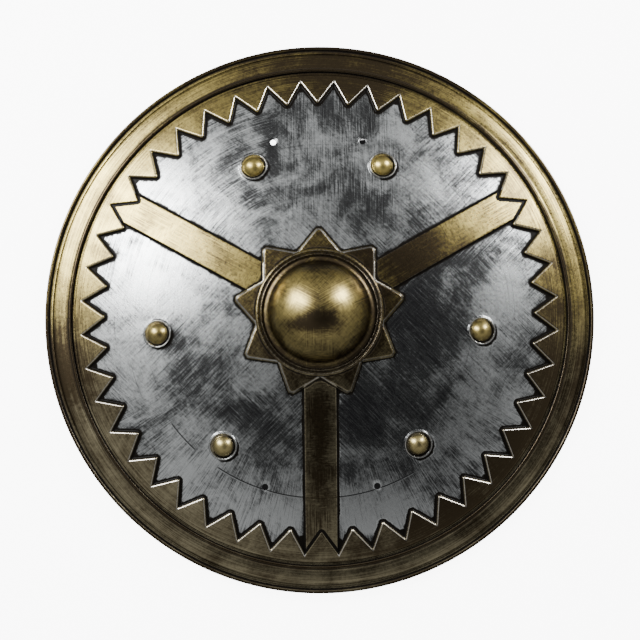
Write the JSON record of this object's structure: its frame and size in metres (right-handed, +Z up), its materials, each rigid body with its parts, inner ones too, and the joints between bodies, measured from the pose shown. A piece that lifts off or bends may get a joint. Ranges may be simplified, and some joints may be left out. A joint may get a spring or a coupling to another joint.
{
  "type": "round costume shield",
  "caption": "Round costume shield of thin moulded plastic with a domed boss, star plate, bands, studs and a toothed ring in its rim. Hollow behind, lying boss up.",
  "frame": {"origin": "on the ground under the centre of the shield, which lies on its rim with the boss up", "axes": "+Z up through the boss, +Y towards the hand-grip holes, the way up that the shield is worn, +X to the right seen from the front"},
  "size_m": [0.4996, 0.4996, 0.0855],
  "materials": {
    "painted_plastic": "satin antique bronze paint on the rim, toothed ring, bands, star and boss, silver dry-brushed over black on the plate, bare black behind"
  },
  "bodies": {
    "root": {"shield_shell": "painted_plastic"}
  },
  "joints": []
}
